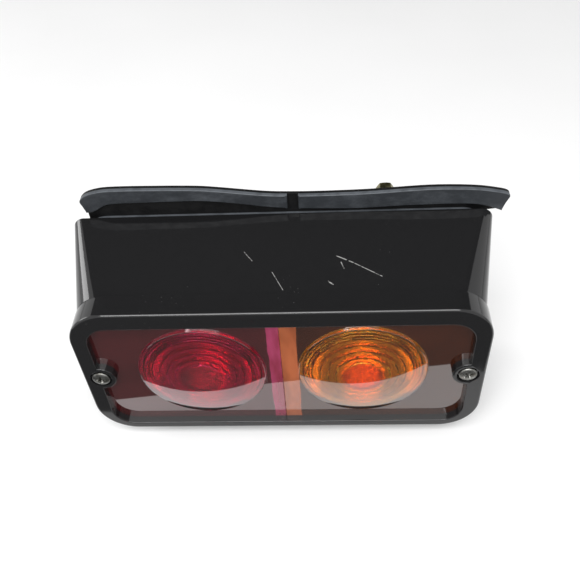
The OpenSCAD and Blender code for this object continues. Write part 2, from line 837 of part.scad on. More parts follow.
// Hexagon nut with one flat up and chamfered corners
module nut(side) {
    corner_r = nut_flats / sqrt(3);
    chamfer = corner_r - nut_flats / 2;
    color(zinc) facing_rear(side * stud_x, stud_shank + washer_t, stud_z) difference() {
        intersection() {
            cylinder(h = nut_t, r = corner_r, $fn = 6);
            rotate_extrude() polygon([[0, 0], [nut_flats / 2, 0], [corner_r, chamfer / 2],
                [corner_r, nut_t - chamfer / 2], [nut_flats / 2, nut_t], [0, nut_t]]);
        }
        translate([0, 0, -cut]) cylinder(h = nut_t + 2 * cut, r = thread_r + nut_gap);
    }
}

module nut_left() {
    nut(-1);
}

module nut_right() {
    nut(1);
}

housing();
bezel();
lens_red();
lens_amber();
lens_seal();
screw_left();
screw_right();
partition();
reflector_left();
reflector_right();
holder_left();
holder_right();
spring_left();
spring_right();
contact_left();
contact_right();
bulb_cap_left();
bulb_cap_right();
bulb_glass_left();
bulb_glass_right();
filament_left();
filament_right();
terminal_block();
lead_left();
lead_right();
cable_grommet();
gasket();
stud_left();
stud_right();
washer_left();
washer_right();
nut_left();
nut_right();
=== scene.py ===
import math

import bmesh
import bpy
from mathutils import Matrix, Vector


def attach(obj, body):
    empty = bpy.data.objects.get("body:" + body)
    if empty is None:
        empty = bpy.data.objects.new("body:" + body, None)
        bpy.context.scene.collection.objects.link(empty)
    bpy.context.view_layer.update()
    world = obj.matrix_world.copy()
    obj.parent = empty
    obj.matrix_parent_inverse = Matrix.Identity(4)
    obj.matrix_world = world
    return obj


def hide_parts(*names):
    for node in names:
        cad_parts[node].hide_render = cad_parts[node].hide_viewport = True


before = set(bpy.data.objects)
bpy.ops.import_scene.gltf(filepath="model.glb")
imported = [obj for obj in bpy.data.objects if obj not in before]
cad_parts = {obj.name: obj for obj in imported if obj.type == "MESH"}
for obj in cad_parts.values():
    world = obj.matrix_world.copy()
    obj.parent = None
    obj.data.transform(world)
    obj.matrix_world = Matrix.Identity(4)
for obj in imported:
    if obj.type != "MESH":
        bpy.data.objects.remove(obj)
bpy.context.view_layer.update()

MM = 0.001
BODY = "root"

# Sizes in millimetres, as in part.scad. The window, the screws' pads and heads, the body's front
# corners and the domes are a little closer to the photograph than there, and still inside its box.
BEZEL_W, BEZEL_H, BEZEL_R = 200, 90, 20
BEZEL_EDGE = 1.4
SKIRT = 3
WINDOW_W, WINDOW_H, WINDOW_R, WINDOW_Z = 184, 75.4, 11.5, -2.6
WINDOW_EDGE = 0.5
AXIS_Z = -1.6
FACE_Y, LENS_Y, LENS_BACK_Y, NECK_Y, STEP_Y = -62, -58, -55, -53, -49
BODY_FRONT_W, BODY_FRONT_H, BODY_FRONT_R = 196.8, 86.8, 14
BODY_BACK_W, BODY_BACK_H, BODY_BACK_R, BODY_EDGE = 212.6, 105.4, 6, 1
WALL, BACK_WALL = 2.6, 3
NECK_GAP = 0.5
SCREW_X, PAD_R, RECESS_R, RECESS_D, SHANK_R = 91.4, 7.6, 5.4, 1.6, 2
SCREW_GAP, FIT_GAP = 0.35, 0.05
HEAD_R, HEAD_H, SHANK_L = 4.45, 2.4, 18
CROSS_L, CROSS_W, CROSS_D = 5, 1.25, 1.6
BOSS_R, BOSS_L = 4.6, 18
DOME_X, DOME_R, DOME_H, DOME_FOOT, DOME_WALL, CROWN_R = 40.1, 31.8, 5.7, 1.3, 2.2, 9.6
DOME_SHOULDER = 0.3
FINE_RINGS, FINE_PITCH, BROAD_RINGS, RING_RISE, RISER_W, RING_BULGE = 3, 1.5, 4, 0.55, 0.5, 0.12
LENS_GAP, LENS_JOIN, LENS_EDGE = 0.3, 0.1, 0.2
GASKET_INSET, GASKET_LIMB, GASKET_T, GASKET_WEB, GASKET_R = 4, 5.5, 4, 1.6, 12
SLIP_X, SLIP_Z = 1, 2.8
NOTCH_X, NOTCH_W = 7, 5.5
LIP_EDGE, LIP_SEAT, WEB_EDGE = 0.6, 0.3, 0.1
STUD_X, STUD_Z, STUD_SHANK, STUD_THREAD = 55.5, 38.5, 28, 8
THREAD_R, THREAD_PITCH, THREAD_DEPTH = 2.75, 1, 0.4
STUD_HEAD_R, STUD_HEAD_T, STUD_R = 5.5, 2.5, 3
GROMMET_Z, GROMMET_NECK_R = -18, 7

# Steps round a corner, along a smooth curve's stretch, and round what is turned
CORNER_STEPS, CURVE_STEPS, PAD_STEPS = 14, 5, 36
HOLE_STEPS, BOSS_STEPS, STUD_STEPS, SCREW_STEPS, DOME_STEPS = 32, 40, 48, 64, 160
SIDES = (-1, 1)


# Camera, placed where the photograph was taken from, in millimetres and degrees
CAMERA_PLACE = (25.3, -281.8, 283.1)
CAMERA_YAW, CAMERA_PITCH, CAMERA_ROLL = -4.67, 45.34, -4.41
FOCAL_PIXELS, FRAME_PIXELS, SENSOR_MM = 720.4, 580, 36


def make_camera():
    """A camera at the photograph's viewpoint, turned by its yaw, pitch and roll."""
    yaw, pitch, roll = (math.radians(a) for a in (CAMERA_YAW, CAMERA_PITCH, CAMERA_ROLL))
    ahead = Vector((math.sin(yaw) * math.cos(pitch), math.cos(yaw) * math.cos(pitch),
                    -math.sin(pitch)))
    level = Vector((math.cos(yaw), -math.sin(yaw), 0))
    upright = level.cross(ahead)
    right = math.cos(roll) * level + math.sin(roll) * upright
    up = math.cos(roll) * upright - math.sin(roll) * level
    data = bpy.data.cameras.new("camera")
    data.sensor_width = SENSOR_MM
    data.lens = FOCAL_PIXELS / FRAME_PIXELS * SENSOR_MM
    data.clip_start, data.clip_end = 0.01, 20
    camera = bpy.data.objects.new("camera", data)
    turn = Matrix((right, up, -ahead)).transposed().to_4x4()
    camera.matrix_world = Matrix.Translation(Vector(CAMERA_PLACE) * MM) @ turn
    bpy.context.scene.collection.objects.link(camera)
    bpy.context.scene.camera = camera


# Loops and surfaces
def circle(x, y, z, r, count):
    """Points of a circle that faces along Y, in millimetres."""
    turns = [2 * math.pi * i / count for i in range(count)]
    return [(x + r * math.cos(a), y, z + r * math.sin(a)) for a in turns]


def corner(quarter, half_w, half_h, r, y, z):
    """Points of one rounded corner of a rectangle that faces along Y. Quarter 0 is the upper right."""
    sx, sz = ((1, 1), (-1, 1), (-1, -1), (1, -1))[quarter]
    turns = [math.pi / 2 * (quarter + i / CORNER_STEPS) for i in range(CORNER_STEPS + 1)]
    return [(sx * (half_w - r) + r * math.cos(a), y, z + sz * (half_h - r) + r * math.sin(a))
            for a in turns]


def rounded_rect(w, h, r, y, z=0):
    """Points of a rounded rectangle that faces along Y, in millimetres."""
    return [p for quarter in range(4) for p in corner(quarter, w / 2, h / 2, r, y, z)]


def add_loop(bm, points):
    return [bm.verts.new(Vector(p) * MM) for p in points]


def bridge(bm, a, b):
    """Joins two loops of as many points with a ring of quads."""
    for i in range(len(a)):
        j = (i + 1) % len(a)
        bm.faces.new((a[i], a[j], b[j], b[i]))


def skin(bm, loops):
    """Joins each loop to the next, and returns the first and the last."""
    made = [add_loop(bm, points) for points in loops]
    for a, b in zip(made, made[1:]):
        bridge(bm, a, b)
    return made[0], made[-1]


def fill(bm, loops):
    """Fills the flat region between an outer loop and the loops of its holes."""
    edges = []
    for loop in loops:
        for i, vertex in enumerate(loop):
            other = loop[(i + 1) % len(loop)]
            edges.append(bm.edges.get((vertex, other)) or bm.edges.new((vertex, other)))
    bmesh.ops.triangle_fill(bm, use_beauty=True, edges=edges)


def rounding(r, steps=5):
    """(inset, depth) pairs of a quarter round, from its foot on the wall to its top on the face."""
    turns = [math.pi / 2 * i / steps for i in range(steps + 1)]
    return [(r * (1 - math.cos(a)), r * math.sin(a)) for a in turns]


def make_object(name, bm, material, replaces, angle=32):
    """Turns a bmesh into a smooth-shaded piece that rides on the part in place of CAD nodes."""
    bmesh.ops.remove_doubles(bm, verts=bm.verts, dist=1e-7)
    bmesh.ops.recalc_face_normals(bm, faces=bm.faces)
    mesh = bpy.data.meshes.new(name)
    bm.to_mesh(mesh)
    bm.free()
    piece = bpy.data.objects.new(name, mesh)
    bpy.context.scene.collection.objects.link(piece)
    mesh.materials.append(material)
    shade(piece, angle)
    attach(piece, BODY)
    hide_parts(*replaces)
    return piece


def shade(piece, angle):
    """Smooth shading, with edges over the given angle kept sharp."""
    piece.data.polygons.foreach_set("use_smooth", [True] * len(piece.data.polygons))
    piece.data.set_sharp_from_angle(angle=math.radians(angle))
    weighted = piece.modifiers.new("weighted", "WEIGHTED_NORMAL")
    weighted.keep_sharp = True


def lathe(bm, profile, x, z, count, closed=False):
    """Turns (radius, y) points about an axis along Y through x, z. A radius of 0 closes to a point."""
    rings = [add_loop(bm, circle(x, y, z, r, count) if r else [(x, y, z)]) for r, y in profile]
    pairs = list(zip(rings, rings[1:]))
    if closed:
        pairs.append((rings[-1], rings[0]))
    for a, b in pairs:
        if len(a) > 1 and len(b) > 1:
            bridge(bm, a, b)
        elif len(a) > 1 or len(b) > 1:
            point, ring = (a[0], b) if len(a) == 1 else (b[0], a)
            for i in range(count):
                bm.faces.new((point, ring[i], ring[(i + 1) % count]))
    return rings


# Materials
def srgb(*channels):
    """A colour given as 0 to 255 in sRGB, as linear values with alpha."""
    values = [c / 255 for c in channels]
    return [v / 12.92 if v <= 0.04045 else ((v + 0.055) / 1.055) ** 2.4 for v in values] + [1]


class Shader:
    """A material's node tree with short calls for the nodes that the finishes share."""

    def __init__(self, name, **sockets):
        self.material = bpy.data.materials.new(name)
        self.material.use_nodes = True
        self.tree = self.material.node_tree
        self.surface = self.tree.nodes["Principled BSDF"]
        for socket, value in sockets.items():
            self.surface.inputs[socket.replace("_", " ")].default_value = value
        self.place = self.add("ShaderNodeTexCoord").outputs["Object"]

    def add(self, kind, **values):
        node = self.tree.nodes.new(kind)
        for key, value in values.items():
            setattr(node, key, value)
        return node

    def feed(self, node, **inputs):
        """Sets or links a node's inputs by name, or by number as in i0, and returns the node."""
        for key, value in inputs.items():
            by_number = key[0] == "i" and key[1:].isdigit()
            socket = node.inputs[int(key[1:]) if by_number else key]
            if isinstance(value, bpy.types.NodeSocket):
                self.tree.links.new(value, socket)
            else:
                socket.default_value = value
        return node

    def noise(self, scale, detail, stretch=(1, 1, 1), rough=0.5):
        """Cloudy noise, with so many cells to a metre."""
        place = self.feed(self.add("ShaderNodeMapping"), Vector=self.place, Scale=stretch)
        node = self.feed(self.add("ShaderNodeTexNoise"), Vector=place.outputs[0], Scale=scale,
                         Detail=detail, Roughness=rough)
        return node.outputs["Fac"]

    def spots(self, scale):
        """Distance from the nearest of scattered points, with so many cells to a metre."""
        node = self.feed(self.add("ShaderNodeTexVoronoi"), Vector=self.place, Scale=scale)
        return node.outputs["Distance"]

    def span(self, value, low, high, to_low=0.0, to_high=1.0):
        """Maps low to high onto to_low to to_high, with soft ends."""
        node = self.add("ShaderNodeMapRange", interpolation_type="SMOOTHSTEP")
        limits = {"From Min": low, "From Max": high, "To Min": to_low, "To Max": to_high}
        return self.feed(node, Value=value, **limits).outputs["Result"]

    def math(self, operation, a, b=0.0):
        return self.feed(self.add("ShaderNodeMath", operation=operation), i0=a, i1=b).outputs[0]

    def vector(self, operation, a, b):
        return self.feed(self.add("ShaderNodeVectorMath", operation=operation), i0=a, i1=b)

    def mix(self, factor, a, b):
        node = self.add("ShaderNodeMix", data_type="RGBA")
        return self.feed(node, i0=factor, i6=a, i7=b).outputs[2]

    def axis(self, index):
        """The place along X, Y or Z in metres."""
        return self.feed(self.add("ShaderNodeSeparateXYZ"), i0=self.place).outputs[index]

    def radius(self, x, z):
        """Distance in millimetres from an axis along Y through x, z."""
        flat = self.vector("MULTIPLY", self.place, (1 / MM, 0, 1 / MM)).outputs[0]
        return self.vector("DISTANCE", flat, (x, 0, z)).outputs["Value"]

    def facing(self, index):
        """How far the surface faces along X, Y or Z, from -1 to 1."""
        normal = self.add("ShaderNodeNewGeometry").outputs["Normal"]
        return self.feed(self.add("ShaderNodeSeparateXYZ"), i0=normal).outputs[index]

    def bump(self, height, strength, distance):
        """Raises the surface by the height, up to a distance in metres."""
        node = self.feed(self.add("ShaderNodeBump"), Height=height, Strength=strength, Distance=distance)
        self.set(Normal=node.outputs[0])

    def set(self, **inputs):
        """Links values to the surface's sockets."""
        for key, value in inputs.items():
            socket = self.surface.inputs[key.replace("_", " ")]
            self.tree.links.new(value, socket)

    def segment(self, a, b, width):
        """1 on a scratch between two points of the XY plane in millimetres, falling to 0 at its width."""
        start, end = Vector((*a, 0)) * MM, Vector((*b, 0)) * MM
        run = end - start
        flat = self.vector("MULTIPLY", self.place, (1, 1, 0)).outputs[0]
        away = self.vector("SUBTRACT", flat, start).outputs[0]
        share = self.add("ShaderNodeMath", operation="DIVIDE", use_clamp=True)
        self.feed(share, i0=self.vector("DOT_PRODUCT", away, run).outputs["Value"], i1=run.length_squared)
        foot = self.feed(self.add("ShaderNodeVectorMath", operation="SCALE"), i0=tuple(run))
        self.feed(foot, Scale=share.outputs[0])
        gap = self.vector("DISTANCE", away, foot.outputs[0])
        return self.span(gap.outputs["Value"], width * MM * 0.4, width * MM, 1.0, 0.0)


# Scratches on the top wall, as start and end in X and Y with their width
TOP_SCRATCHES = [
    ((28.3, -27.4), (36.0, -31.4), 0.34),
    ((36.0, -31.4), (49.2, -39.4), 0.26),
    ((30.2, -31.0), (31.5, -34.5), 0.28),
    ((-16.7, -23.9), (-12.5, -29.3), 0.24),
    ((-2.7, -35.9), (2.8, -46.2), 0.18),
    ((23.8, -41.6), (26.2, -43.4), 0.4),
]
BLACK = srgb(25, 25, 26)
DUST = srgb(150, 150, 148)

# Refraction index of the lens's polished skin, and how wide its solid bands at the join are, painted
# lighter as light that the join's edge catches
LENS_SHINE = 1.75
RED_BAND_W, AMBER_BAND_W = 6.2, 8.4
# How solid the flats (painted shade) and the bands at the join (painted light) look, where the domes are
# clear
FLAT_SOLID, BAND_SOLID = 0.7, 0.75


def darker(colour):
    """The colour at four fifths of its strength."""
    return [c * 0.8 for c in colour[:3]] + [1]


def black_gloss(name, scratches=()):
    """Glossy black moulded plastic with a faint orange peel, dust specks and scratches."""
    s = Shader(name, Specular_IOR_Level=0.5)
    dust = s.span(s.spots(420), 0.10, 0.02)
    patches = s.span(s.noise(35, 4), 0.56, 0.72)
    worn = s.math("MULTIPLY", s.math("MULTIPLY", dust, patches), 0.5)
    for start, end, width in scratches:
        line = s.math("MULTIPLY", s.segment(start, end, width), s.span(s.noise(700, 2), 0.35, 0.55))
        worn = s.math("MAXIMUM", worn, s.math("MULTIPLY", line, s.span(s.facing(2), 0.5, 0.7)))
    s.set(Base_Color=s.mix(worn, BLACK, DUST))
    polish = s.span(s.noise(60, 4), 0.3, 0.7, 0.07, 0.11)
    s.set(Roughness=s.math("ADD", polish, s.math("MULTIPLY", worn, 0.5)))
    s.bump(s.noise(260, 2), 0.06, 0.0003)
    return s.material


def lens_plastic(name, side, tint, crown, flat, lit_join_colours, band_w):
    """Clear coloured acrylic. The flats are painted dark and made more solid, as shade of the black inside
    behind them; the crown is painted darker as the bulb's shadow; the solid edge at the join is painted
    lighter as light it catches; and the inside of the dome is stippled."""
    s = Shader(name, IOR=1.49, Coat_Weight=1.0, Coat_Roughness=0.02, Coat_IOR=LENS_SHINE)
    r = s.radius(side * DOME_X, AXIS_Z)
    on_flat = s.span(r, DOME_R + 0.1, DOME_R + 0.6)
    crown_shadow = s.span(r, CROWN_R - 1, CROWN_R + 3, 1.0, 0.0)
    from_join = s.math("MULTIPLY", s.axis(0), side / MM)
    edge = s.math("ADD", from_join, s.span(s.noise(60, 2), 0.3, 0.7, -0.4, 0.4))
    join_light = s.span(edge, band_w - 0.3, band_w + 0.3, 1.0, 0.0)
    # Painted shadow: the crown gets a darker colour, for the bulb's shadow on it.
    colour = s.mix(crown_shadow, tint, crown)
    # Painted shade: the flats get a dark colour, with random tone, for the black inside seen through them.
    colour = s.mix(on_flat, colour, s.mix(s.span(s.noise(45, 3), 0.35, 0.65), flat, darker(flat)))
    streaks = s.span(s.noise(90, 3, stretch=(1, 1, 0.3)), 0.35, 0.65)
    # Painted light: the solid edge at the join gets lighter colours, for the light it catches.
    s.set(Base_Color=s.mix(join_light, colour, s.mix(streaks, *lit_join_colours)))
    # The flats' painted shade and the join's painted light are made more solid than the clear domes.
    solid = s.math("MAXIMUM", s.math("MULTIPLY", on_flat, FLAT_SOLID),
                   s.math("MULTIPLY", join_light, BAND_SOLID))
    s.set(Transmission_Weight=s.math("SUBTRACT", 1.0, solid))
    inside = dome_inside(s, r)
    stipple = s.math("MULTIPLY", inside, s.span(s.spots(700), 0.1, 0.6, 1.0, 0.0))
    polish = s.span(s.noise(90, 3), 0.3, 0.7, 0.03, 0.06)
    s.set(Roughness=s.math("ADD", polish, s.math("MULTIPLY", inside, 0.08)))
    s.bump(stipple, 0.35, 0.0002)
    return s.material


def dome_inside(s, r):
    """1 where the surface lies under the dome's outside, at a distance r from its axis."""
    depth = s.math("SUBTRACT", s.math("MULTIPLY", s.axis(1), 1 / MM), LENS_Y)
    sag = s.math("MULTIPLY", s.math("POWER", r, 2.0), (DOME_H - DOME_FOOT) / DOME_R ** 2)
    return s.span(s.math("SUBTRACT", s.math("ADD", depth, DOME_H), sag), 0.8, 1.2)


def rubber(name, colour, chalk, shade_depth=None):
    """Black rubber with a chalky bloom, everywhere unless a depth behind y = 0 is given. Then bloom and
    colour stay in front of it and higher than about 4 mm under the body's top edge, where faces turned up
    get the chalk colour as painted light; the rest is painted shade, near black.
    """
    s = Shader(name, Specular_IOR_Level=0.35)
    bloom = s.span(s.noise(70, 5, stretch=(0.5, 1, 1), rough=0.7), 0.42, 0.75)
    specks = s.span(s.spots(900), 0.14, 0.05)
    dusty = s.math("MULTIPLY", s.math("ADD", bloom, s.math("MULTIPLY", specks, 0.35)), 0.75)
    if shade_depth is not None:
        # Painted shade: behind the given depth, as on the web, and lower than about 4 mm under the body's
        # top edge, the rubber is near black and has no bloom.
        front = s.span(s.axis(1), (shade_depth - 0.4) * MM, (shade_depth - 0.1) * MM, 1.0, 0.0)
        lip = s.span(s.axis(2), (BODY_BACK_H / 2 - 4) * MM, (BODY_BACK_H / 2 - 3.5) * MM)
        unshaded = s.math("MULTIPLY", front, lip)
        # Painted light: faces turned up get the chalk colour, in worn patches.
        rubbed_and_lit = s.span(s.noise(160, 4), 0.3, 0.6, 0.45, 1.0)
        ridge = s.math("MULTIPLY", s.span(s.facing(2), 0.35, 0.7), rubbed_and_lit)
        base = s.mix(unshaded, srgb(9, 9, 10), s.mix(ridge, colour, chalk))
        s.set(Base_Color=s.mix(s.math("MULTIPLY", dusty, unshaded), base, chalk))
    else:
        s.set(Base_Color=s.mix(dusty, colour, chalk))
    s.set(Roughness=s.span(s.noise(220, 3), 0.3, 0.7, 0.42, 0.62))
    s.bump(s.noise(420, 4), 0.3, 0.0003)
    return s.material


def metal(name, colour, dull, rough):
    """Plated or bare metal with cloudy patches and a fine grain."""
    s = Shader(name, Metallic=1.0)
    s.set(Base_Color=s.mix(s.span(s.noise(240, 4), 0.35, 0.7), colour, dull))
    s.set(Roughness=s.span(s.noise(500, 3), 0.3, 0.7, rough, rough + 0.16))
    s.bump(s.noise(1500, 2), 0.1, 0.0001)
    return s.material


def moulded(name, colour):
    """Plain moulded plastic or laminate."""
    s = Shader(name)
    s.set(Base_Color=s.mix(s.span(s.noise(120, 4), 0.35, 0.7), colour, darker(colour)))
    s.set(Roughness=s.span(s.noise(300, 3), 0.3, 0.7, 0.45, 0.57))
    s.bump(s.noise(800, 2), 0.08, 0.0001)
    return s.material


def clear_glass(name):
    s = Shader(name, Transmission_Weight=1.0, IOR=1.45)
    s.set(Base_Color=s.mix(s.span(s.noise(80, 2), 0.4, 0.7), srgb(250, 252, 252), srgb(236, 242, 242)))
    s.set(Roughness=s.span(s.noise(90, 2), 0.3, 0.7, 0.0, 0.04))
    return s.material


def make_materials():
    return {
        "housing": black_gloss("housing_black", TOP_SCRATCHES),
        "bezel": black_gloss("bezel_black"),
        # The lens's crown colour is painted shadow, its flat colour painted shade, and its band colours
        # painted light.
        "red": lens_plastic("lens_red", -1, srgb(214, 40, 84), srgb(150, 70, 80), srgb(74, 26, 28),
                            (srgb(176, 66, 106), srgb(140, 40, 66)), RED_BAND_W),
        "amber": lens_plastic("lens_amber", 1, srgb(248, 166, 44), srgb(206, 96, 50), srgb(66, 30, 14),
                              (srgb(190, 104, 62), srgb(150, 76, 40)), AMBER_BAND_W),
        # The gasket's rubber is painted near black, as shade, from the web's front backwards.
        "gasket": rubber("gasket_rubber", srgb(44, 47, 51), srgb(84, 88, 93), GASKET_T - GASKET_WEB),
        "rubber": rubber("seal_rubber", srgb(34, 34, 35), srgb(70, 70, 70)),
        "screw": metal("screw_steel", srgb(150, 150, 146), srgb(96, 94, 88), 0.26),
        "zinc": metal("stud_zinc", srgb(142, 136, 98), srgb(84, 82, 58), 0.28),
        "reflector": metal("reflector_metal", srgb(214, 216, 220), srgb(170, 172, 176), 0.12),
        "holder": metal("holder_steel", srgb(186, 186, 184), srgb(140, 140, 136), 0.3),
        "brass": metal("bulb_brass", srgb(214, 176, 96), srgb(168, 132, 64), 0.28),
        "filament": metal("filament_wire", srgb(120, 118, 116), srgb(90, 88, 86), 0.4),
        "partition": moulded("partition_plastic", srgb(206, 202, 196)),
        "terminal": moulded("terminal_plastic", srgb(216, 210, 196)),
        "contact": moulded("contact_board", srgb(140, 96, 58)),
        "lead": moulded("lead_red", srgb(170, 34, 26)),
        "glass": clear_glass("bulb_glass"),
    }


# Housing
def make_housing(materials):
    neck_w, neck_h = BEZEL_W - 2 * (SKIRT + NECK_GAP), BEZEL_H - 2 * (SKIRT + NECK_GAP)
    neck_r = BEZEL_R - SKIRT - NECK_GAP
    bm = bmesh.new()
    edge = rounding(BODY_EDGE)
    outer = [rounded_rect(BODY_BACK_W - 2 * i, BODY_BACK_H - 2 * i, BODY_BACK_R - i, d - BODY_EDGE)
             for i, d in reversed(edge)]
    outer += [rounded_rect(BODY_FRONT_W - 2 * i, BODY_FRONT_H - 2 * i, BODY_FRONT_R - i,
                           STEP_Y + BODY_EDGE - d) for i, d in edge]
    outer += [rounded_rect(neck_w, neck_h, neck_r, y) for y in (STEP_Y, NECK_Y)]
    mouth = (neck_w - 2 * WALL, neck_h - 2 * WALL, neck_r - WALL)
    outer += [rounded_rect(*mouth, y) for y in (NECK_Y, STEP_Y + WALL)]
    outer += [rounded_rect(BODY_BACK_W - 2 * WALL, BODY_BACK_H - 2 * WALL, BODY_BACK_R - WALL, -BACK_WALL)]
    first, last = skin(bm, outer)
    holes = [(-STUD_X, STUD_Z, STUD_R + FIT_GAP), (STUD_X, STUD_Z, STUD_R + FIT_GAP),
             (0, GROMMET_Z, GROMMET_NECK_R + FIT_GAP)]
    tunnels = [skin(bm, [circle(x, y, z, r, STUD_STEPS) for y in (0, -BACK_WALL)]) for x, z, r in holes]
    fill(bm, [first] + [tunnel[0] for tunnel in tunnels])
    fill(bm, [last] + [tunnel[1] for tunnel in tunnels])
    bore, boss_foot = SHANK_R + FIT_GAP, NECK_Y + BOSS_L
    boss = [(bore, NECK_Y), (BOSS_R, NECK_Y), (BOSS_R, boss_foot), (bore, boss_foot)]
    for side in SIDES:
        lathe(bm, boss, side * SCREW_X, AXIS_Z, BOSS_STEPS, closed=True)
    make_object("housing_shell", bm, materials["housing"], ["housing"])


# Bezel
def window_outline(inset, y):
    """The window's edge with the two screw pads reaching into it, drawn in towards the bezel by inset."""
    half_w, half_h, r = WINDOW_W / 2 + inset, WINDOW_H / 2 + inset, WINDOW_R + inset
    points = []
    for side, quarters in ((-1, (0, 1)), (1, (2, 3))):
        for quarter in quarters:
            points += corner(quarter, half_w, half_h, r, y, WINDOW_Z)
        points += pad_outline(side, half_w, PAD_R - inset, y)
    return points


def pad_outline(side, half_w, pad, y):
    """The screw pad's arc, from where it leaves the window's side to where it meets it again."""
    meet = math.acos((half_w - SCREW_X) / pad)
    arc = [meet + (2 * math.pi - 2 * meet) * i / PAD_STEPS for i in range(PAD_STEPS + 1)]
    return [(side * (SCREW_X + pad * math.cos(a)), y, AXIS_Z - side * pad * math.sin(a)) for a in arc]


def recess_profile():
    """(radius, y) of the screw's hole and of its recess with a soft floor and a rounded rim."""
    hole, floor = SHANK_R + SCREW_GAP, FACE_Y + RECESS_D
    return [(hole, LENS_Y), (hole, floor), (RECESS_R - 0.3, floor), (RECESS_R, floor - 0.3),
            (RECESS_R, FACE_Y + 0.4), (RECESS_R + 0.12, FACE_Y + 0.12), (RECESS_R + 0.4, FACE_Y)]


def make_bezel(materials):
    bm = bmesh.new()
    outer = [rounded_rect(BEZEL_W, BEZEL_H, BEZEL_R, STEP_Y)]
    outer += [rounded_rect(BEZEL_W - 2 * i, BEZEL_H - 2 * i, BEZEL_R - i, FACE_Y + BEZEL_EDGE - d)
              for i, d in rounding(BEZEL_EDGE, 7)]
    pocket = (BEZEL_W - 2 * SKIRT, BEZEL_H - 2 * SKIRT, BEZEL_R - SKIRT)
    rear, rim = skin(bm, outer)
    pocket_mouth, pocket_floor = skin(bm, [rounded_rect(*pocket, y) for y in (STEP_Y, LENS_Y)])
    bridge(bm, rear, pocket_mouth)
    edge = [window_outline(i, FACE_Y + WINDOW_EDGE - d) for i, d in rounding(WINDOW_EDGE, 3)]
    sill, brim = skin(bm, [window_outline(0, LENS_Y)] + edge)
    recesses = [lathe(bm, recess_profile(), side * SCREW_X, AXIS_Z, SCREW_STEPS) for side in SIDES]
    fill(bm, [rim, brim] + [rings[-1] for rings in recesses])
    fill(bm, [pocket_floor, sill] + [rings[0] for rings in recesses])
    make_object("bezel_frame", bm, materials["bezel"], ["bezel"])


# Lens
def crown_height(r):
    return DOME_FOOT + (DOME_H - DOME_FOOT) * (1 - (r / DOME_R) ** 2)


def roof_height(r):
    """Height of the dome's inside over the plate's front."""
    return crown_height(r) - DOME_WALL


def ring_radii():
    outer = DOME_R - DOME_WALL
    inner = outer - FINE_RINGS * FINE_PITCH
    pitch = (inner - CROWN_R) / BROAD_RINGS
    fine = [outer - i * FINE_PITCH for i in range(FINE_RINGS)]
    return fine + [inner - i * pitch for i in range(BROAD_RINGS)] + [CROWN_R]


def dome_profile():
    """(radius, y) of the smooth outside of a dome, from its foot to its crown."""
    steps, soft = 24, 0.3 * DOME_SHOULDER
    profile = [(DOME_R, LENS_Y), (DOME_R, LENS_Y - DOME_FOOT + DOME_SHOULDER),
               (DOME_R - soft, LENS_Y - DOME_FOOT + soft)]
    for i in range(steps + 1):
        r = (DOME_R - DOME_SHOULDER) * (1 - i / steps)
        profile.append((r, LENS_Y - crown_height(r)))
    return profile


def bowl_profile():
    """(radius, y) of the stepped inside of a dome, from the back of the lens plate to its crown."""
    radii = ring_radii()
    profile = [(radii[0], LENS_BACK_Y)]
    for i, (r, next_r) in enumerate(zip(radii, radii[1:])):
        top, low = roof_height(r), roof_height(next_r) - RING_RISE
        profile.append((r, LENS_Y - top + RING_RISE))
        lands = 1 if i < FINE_RINGS else 5
        for k in range(lands):
            share = k / lands
            bulge = RING_BULGE * math.sin(math.pi * share)
            land_r = r - RISER_W + (next_r - r + RISER_W) * share
            profile.append((land_r, LENS_Y - top - (low - top) * share - bulge))
        if lands > 1:
            profile.append((next_r + 0.06, LENS_Y - low))
    crown_y = LENS_Y - roof_height(CROWN_R)
    return profile + [(CROWN_R, crown_y), (0, crown_y - 0.3)]


def lens_outline(side, y, inset=0.0):
    """Half of the lens plate's outline, from the join round the outer corners."""
    half_w = BEZEL_W / 2 - SKIRT - LENS_GAP - inset
    half_h = BEZEL_H / 2 - SKIRT - LENS_GAP - inset
    r = BEZEL_R - SKIRT - LENS_GAP - inset
    join = LENS_JOIN / 2 + inset
    points = [(join, y, half_h)]
    for from_angle, sz in ((90, 1), (0, -1)):
        for i in range(CORNER_STEPS + 1):
            a = math.radians(from_angle - 90 * i / CORNER_STEPS)
            points.append((half_w - r + r * math.cos(a), y, sz * (half_h - r) + r * math.sin(a)))
    points.append((join, y, -half_h))
    return [(side * x, y, z) for x, y, z in points]


def make_lens(side, material, node):
    bm = bmesh.new()
    back, front = skin(bm, [lens_outline(side, LENS_BACK_Y), lens_outline(side, LENS_Y + LENS_EDGE),
                            lens_outline(side, LENS_Y, LENS_EDGE)])
    dome, bowl = (lathe(bm, profile, side * DOME_X, AXIS_Z, DOME_STEPS)
                  for profile in (dome_profile(), bowl_profile()))
    hole = SHANK_R + SCREW_GAP
    screw = lathe(bm, [(hole, LENS_BACK_Y), (hole, LENS_Y)], side * SCREW_X, AXIS_Z, HOLE_STEPS)
    fill(bm, [front, dome[0], screw[1]])
    fill(bm, [back, bowl[0], screw[0]])
    make_object(node + "_moulding", bm, material, [node], angle=20)


